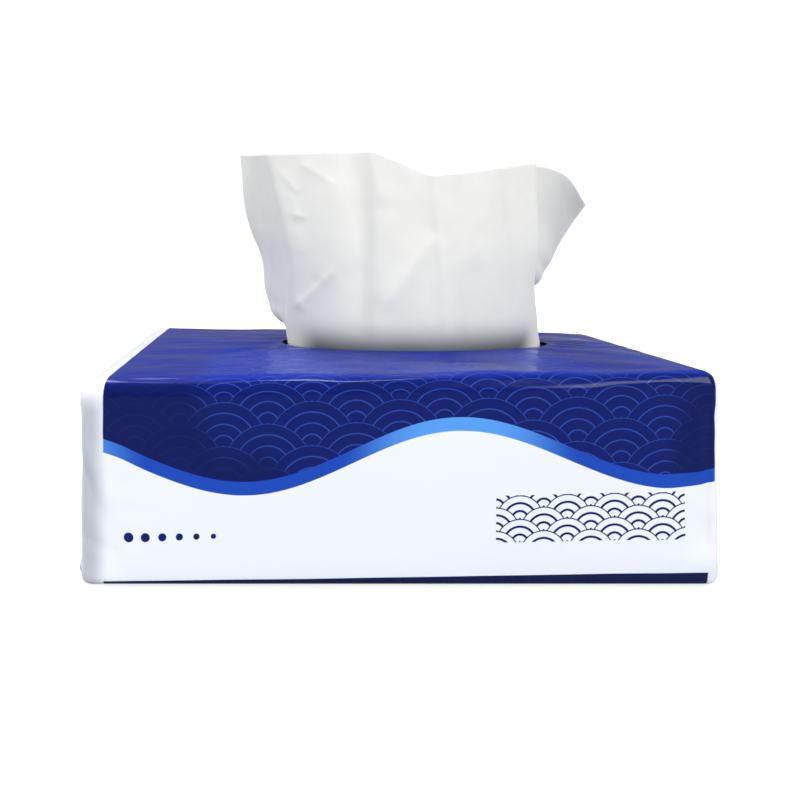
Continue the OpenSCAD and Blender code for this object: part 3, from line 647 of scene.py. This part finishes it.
drawn = {
    "rise": 71.0, "lean": 7.0, "foldLeft": 30.0, "foldRight": 46.0, "pleat": 11.0,
    "inset": 2,  # from the slot's front edge
    "bendRadius": 1.5,  # under the slot's edge
    "crease": 6.5,  # sheet width taken up by one rounded crease
    "rows": 150, "columns": 200,
    "wrinkle": 1.0,  # share of the wrinkles below, whose heights are in mm
    "crumple": 0.1, "fineCrumple": 0.025, "edgeFlutter": 0.35, "sideFlutter": 0.9,
    # Both flaps are gathered in pleats by the slot
    "gather": 0.5, "gatherRise": 0.3, "gatherPleat": 9.0, "gatherHeight": 0.3,
    # Turns in degrees and shifts in widths of the sheet, from 0 at the slot to 1 at the free edge
    "leftTurn": [(0, 196), (0.04, 130), (0.08, 92), (0.12, 77), (0.2, 73), (0.3, 70), (0.43, 67.5),
                 (0.6, 63.5), (1, 64)],
    "rightFlap": [(0, 196), (0.13, 135), (0.24, 85), (0.36, 57), (0.5, 52), (0.7, 47), (0.85, 38.5),
                  (1, 28)],
    "leftShift": [(0, 0), (0.35, 0.0245), (0.6, 0.019), (1, 0)],
    "rightShift": [(0, 0), (0.35, -0.0435), (0.6, -0.0516), (1, -0.0462)],
    "runShift": [(0, 0), (0.3, -0.0027), (0.56, -0.0054), (1, -0.0299)],
    "runCurve": [(0, 46), (0.3, 33), (0.56, 20), (1, 8)],
    "foldTurn": [(0, 150), (1, 172)],
    "edgeLine": [(-1, 1.01), (-0.68, 0.979), (-0.5, 0.978), (-0.27, 0.987), (-0.22, 0.966), (-0.06, 0.882),
                 (-0.02, 0.866), (0.02, 0.869), (0.09, 0.88), (0.26, 0.909), (0.41, 0.93), (0.53, 0.9),
                 (0.64, 0.93), (0.69, 0.934), (0.8, 0.925), (0.91, 0.87), (1, 0.732)],
    "ridges": [  # place at the slot and at the free edge, half width, height at the slot and at the free edge
        (-0.168, -0.19, 0.054, 0.0043, 0.013), (-0.114, -0.109, 0.027, -0.0038, -0.012),
        (-0.087, -0.06, 0.027, 0.0065, 0.0054), (-0.027, 0.016, 0.043, -0.0022, -0.0049),
        (0.049, 0.082, 0.03, 0.0082, 0.0098), (0.125, 0.168, 0.049, -0.0043, -0.0087),
        (0.201, 0.223, 0.027, 0.0043, 0.0076)],
    "creases": [  # sharp creases of the front, from one x, z to another: width and height
        (-5.7, 136, -9.5, 66, 5.0, -0.9), (-5.7, 134, -1.5, 115, 2.6, 0.8), (-0.2, 79, 16.5, 102, 4.0, 1.0),
        (16.5, 128, 21.5, 66, 3.2, 0.9), (42.5, 130, 49, 66, 3.6, 0.9), (-17.6, 121, -18, 91, 3.6, 0.9),
        (-29.7, 129, -17.6, 121, 2.2, 0.7), (-18, 91, -32, 78, 2.8, 1.1), (-23.5, 88, -31, 80, 2.2, -0.6),
        (-37, 126, -31, 119, 1.6, 0.6), (-34, 118, -31, 109, 1.5, 0.45), (-36, 112, -28, 110, 1.4, 0.4),
        (-32, 105, -30, 97, 1.8, 0.4), (28, 66, 31, 92, 4.0, -0.6)],
}


def drawnGrid():
    # Each row is a path seen from above: its heading at distance s turns at the left crease, runs along
    # the front, folds back at the right crease and opens out again. Rows are stacked by height.
    width, cols, rows = sheets["width"], drawn["columns"], drawn["rows"]
    step = width / cols
    s = np.linspace(-width / 2, width / 2, cols + 1)
    t = np.linspace(1, 0, rows + 1)[:, None]
    left = -width / 2 + drawn["foldLeft"] + width * smoothCurve(drawn["leftShift"], t)
    right = width / 2 - drawn["foldRight"] + width * smoothCurve(drawn["rightShift"], t)
    middle, half = (left + right) / 2, (right - left) / 2

    def crease(at):
        return ease((s[None, :-1] + step / 2 - at) / drawn["crease"] + 0.5)

    off = s[None, :-1] + step / 2 - middle
    run = np.clip(off / half, -1, 1)
    turn, curve = smoothCurve(drawn["foldTurn"], t), smoothCurve(drawn["runCurve"], t)
    slope = 0 * off
    for slotPlace, edgePlace, wide, slotHigh, edgeHigh in drawn["ridges"]:
        at = off - width * mix(slotPlace, edgePlace, t)
        wide = wide * width
        slope = slope + 2 * width * mix(slotHigh, edgeHigh, t) * at / wide ** 2 * hump(at / wide)
    heading = (-(smoothCurve(drawn["leftTurn"], t) - curve) * (1 - crease(left)) + turn * crease(right)
               - (turn + curve - smoothCurve(drawn["rightFlap"], t)) * crease(right + drawn["pleat"])
               + curve * run + np.degrees(np.arctan(slope)) * (1 - run ** 4))
    heading = np.radians(heading)
    flaps = 1 - crease(left) + crease(right + drawn["pleat"])
    wideX = np.concatenate([[0], np.cumsum(step * np.cos(heading[-1]))])
    step = step * (1 - drawn["gather"] * flaps * (1 - ease(t / drawn["gatherRise"])))
    x = np.concatenate([np.zeros_like(t), np.cumsum(step * np.cos(heading), axis=1)], axis=1)
    y = np.concatenate([np.zeros_like(t), np.cumsum(step * np.sin(heading), axis=1)], axis=1)
    at = (middle[:, 0] + width / 2) / width * cols
    before = np.floor(at).astype(int)
    line = np.arange(rows + 1)
    x = x - mix(x[line, before], x[line, before + 1], at - before)[:, None]
    y = y - mix(y[line, before], y[line, before + 1], at - before)[:, None]
    x = x + pack["slotX"] + width * smoothCurve(drawn["runShift"], t)
    y = y + pack["slotY"] - pack["slotWidth"] / 2 + drawn["inset"] + drawn["lean"] * t
    foot = pack["height"] + pack["crown"]
    z = foot + t * drawn["rise"] * smoothCurve(drawn["edgeLine"], 2 * s / width)[None, :]
    standing = np.stack([x, y, z], axis=-1)

    # Below the slot's edge: a short drop, a bend forward, and the path to the front fold and back
    lowX, lowY = x[-1], y[-1]
    behind = 1 - ease((s - left[-1]) / drawn["crease"] + 0.5) + ease((s - right[-1]) / drawn["crease"] + 0.5)
    high, low = sheets["layers"] - behind, 2 + behind
    radius = drawn["bendRadius"]
    layY = lowY - radius
    top = layerHeight(layY, high) + radius
    fall = np.linspace(0, 1, 6)[1:-1, None]
    bend = np.linspace(0, math.pi / 2, 7)[:-1, None]
    dropY = np.concatenate([lowY + 0 * fall, lowY - radius * (1 - np.cos(bend))])
    dropZ = np.concatenate([mix(foot, top, fall), top - radius * np.sin(bend)])
    fold = sheets["foldY"]
    pathY, pathZ = foldedPath(layY[None, :], -fold + sheets["layer"], fold - sheets["tuck"], high, low, 26, 8)
    lyingY = np.concatenate([dropY, pathY])
    lyingZ = np.concatenate([dropZ, pathZ])
    spread = ease(np.linspace(0, 1, len(lyingY)) * 2)[:, None]  # under the film the pleats open out again
    wideX = wideX + lowX[before[-1]] - wideX[before[-1]]
    lying = np.stack([mix(lowX, wideX, spread), lyingY, lyingZ], axis=-1)
    points = np.concatenate([standing, lying])
    front = ease((s[None, :] - left) / 6) * ease((right - s[None, :]) / 6)
    return points, s, t, front


def drawnRelief(points, s, t, front):  # creases and crumples on the standing part, fading out at the slot
    x, z = points[..., 0], points[..., 2]
    standing = len(t)
    relief = np.zeros_like(x)
    for x1, z1, x2, z2, wide, high in drawn["creases"]:
        relief[:standing] += (high * creaseShape(x, z, (x1, z1), (x2, z2), wide))[:standing] * front
    up = s[None, :] * np.ones_like(t), t * drawn["rise"]
    soft = (drawn["crumple"] * softNoise(up[0], up[1] * 0.35, 24, 61)
            + drawn["fineCrumple"] * softNoise(up[0], up[1] * 0.6, 7, 62))
    fade = ease(t / 0.12)
    relief[:standing] += soft * fade
    gathered = 1 - front - ease((np.abs(up[0]) - 88) / 4)
    pleats = np.sin(6.283 * up[0] / drawn["gatherPleat"])
    relief[:standing] += (drawn["gatherHeight"] * pleats * np.clip(gathered, 0, 1)
                          * ease(t / 0.05) * (1 - ease((t - 0.04) / 0.24)))
    # The free edge and the two cut sides flutter a little
    edge = np.sin(up[0] / 5.5 + 2 * np.sin(up[0] / 17)) * ease((t - 0.86) / 0.14)
    side = ease((np.abs(up[0]) - 80) / 12)
    relief[:standing] += drawn["edgeFlutter"] * edge
    relief[:standing] += drawn["sideFlutter"] * np.sin(up[1] / 6.5) * side * fade
    return relief * drawn["wrinkle"]


points, s, t, front = drawnGrid()
normals = surfaceNormals(points)
points = points + normals * drawnRelief(points, s, t, front)[..., None]
middle = points[:, drawn["columns"] // 2]
path = np.concatenate([[0], np.cumsum(np.linalg.norm(np.diff(middle, axis=0), axis=1))])
places = np.stack(np.broadcast_arrays(s[None, :] / sheets["width"] + 0.5, path[:, None] / path[-1]), axis=-1)
drawnMesh = surfaceMesh("drawnTissue", points, places)
drawnPiece = finishedPiece("drawnTissue", drawnMesh, drawnPaper, sheets["thick"], 0, "drawn_tissue")
print("stage: drawn tissue made")

stackNode = bpy.data.objects["tissue_stack"]
for holder in stackNode.material_slots:
    holder.material = stackPaper
if not stackNode.material_slots:
    stackNode.data.materials.append(stackPaper)

studio = {
    "camera": (-0.026, -0.261, 0.1047), "lens": 32.1, "shiftX": 0.11, "shiftY": -0.21,
    "horizon": 0.22, "zenith": 0.42, "backdrop": 1.05,  # light of the world, and what the camera sees of it
    "floor": 6.0,  # half width in metres
    "glow": 0.66,  # light behind the floor's paper, seen by the camera alone
    "paper": "#B6B7B8", "fibre": "#B9BABB",
    "suns": {  # where each light comes from, its strength and its width in degrees
        "keyLight": ((0.55, -0.8, 0.5), 2.06, 30), "fillLight": ((-0.9, -0.25, 0.4), 1.5, 60),
        "backLight": ((-0.45, 0.6, 0.8), 1.1, 24), "topLight": ((0.0, 0.12, 1.0), 1.0, 13)},
}
reach = studio["floor"]
corners = [(-reach, -reach, 0), (reach, -reach, 0), (reach, reach, 0), (-reach, reach, 0)]
floorMesh = bpy.data.meshes.new("floor")
floorMesh.from_pydata(corners, [], [(0, 1, 2, 3)])
floor = bpy.data.objects.new("floor", floorMesh)
scene.collection.objects.link(floor)
# Seamless white paper of a photo studio: matt, with a faint fibre
floorPaint, floorTree, floorShader = newMaterial("whiteBackdropPaper", 0.9, 1.45, 0.2)
floorPlace = addNode(floorTree, "TexCoord", {})["Object"]
fibre = addNode(floorTree, "TexNoise", {"Vector": floorPlace, "Scale": 400.0})[0]
paperTone, fibreTone = hexLinear(studio["paper"]), hexLinear(studio["fibre"])
floorTone = addNode(floorTree, "Mix", {0: fibre, 6: paperTone, 7: fibreTone}, data_type="RGBA")[2]
floorTree.links.new(floorTone, floorShader.inputs["Base Color"])
floorShader.inputs["Emission Color"].default_value = (1, 1, 1, 1)
floorSeen = addNode(floorTree, "LightPath", {})["Is Camera Ray"]
floorGlow = addNode(floorTree, "Math", {0: floorSeen, 1: studio["glow"]}, operation="MULTIPLY")[0]
floorTree.links.new(floorGlow, floorShader.inputs["Emission Strength"])
floorMesh.materials.append(floorPaint)

world = bpy.data.worlds.new("studioWorld")  # white behind the pack; its light is dimmer by the horizon
world.use_nodes = True
sky = world.node_tree
skyPlace = addNode(sky, "TexCoord", {})["Generated"]
skyHigh = addNode(sky, "SeparateXYZ", {0: skyPlace})[2]
skyLight = addNode(sky, "MapRange", {0: skyHigh, 1: 0.0, 2: 0.8, 3: studio["horizon"], 4: studio["zenith"]},
                   interpolation_type="SMOOTHSTEP")[0]
seen = addNode(sky, "LightPath", {})["Is Camera Ray"]
skyPower = addNode(sky, "Mix", {0: seen, 2: skyLight, 3: studio["backdrop"]}, data_type="FLOAT")[0]
sky.nodes["Background"].inputs["Color"].default_value = (1, 1, 1, 1)
sky.links.new(skyPower, sky.nodes["Background"].inputs["Strength"])
scene.world = world


def softSun(name, source, power, spread):  # parallel light from far away, as wide as a large soft box
    data = bpy.data.lights.new(name, "SUN")
    data.energy = power
    data.angle = math.radians(spread)
    lamp = bpy.data.objects.new(name, data)
    lamp.rotation_euler = (-Vector(source)).to_track_quat("-Z", "Y").to_euler()
    scene.collection.objects.link(lamp)


for name, (source, power, spread) in studio["suns"].items():
    softSun(name, source, power, spread)

cameraData = bpy.data.cameras.new("camera")
cameraData.lens = studio["lens"]
cameraData.sensor_width = 36
cameraData.shift_x = studio["shiftX"]
cameraData.shift_y = studio["shiftY"]
cameraData.clip_start = 0.01
camera = bpy.data.objects.new("camera", cameraData)
camera.location = studio["camera"]
camera.rotation_euler = (math.pi / 2, 0, 0)
scene.collection.objects.link(camera)
scene.camera = camera
print("stage: studio set")

bpy.context.view_layer.update()
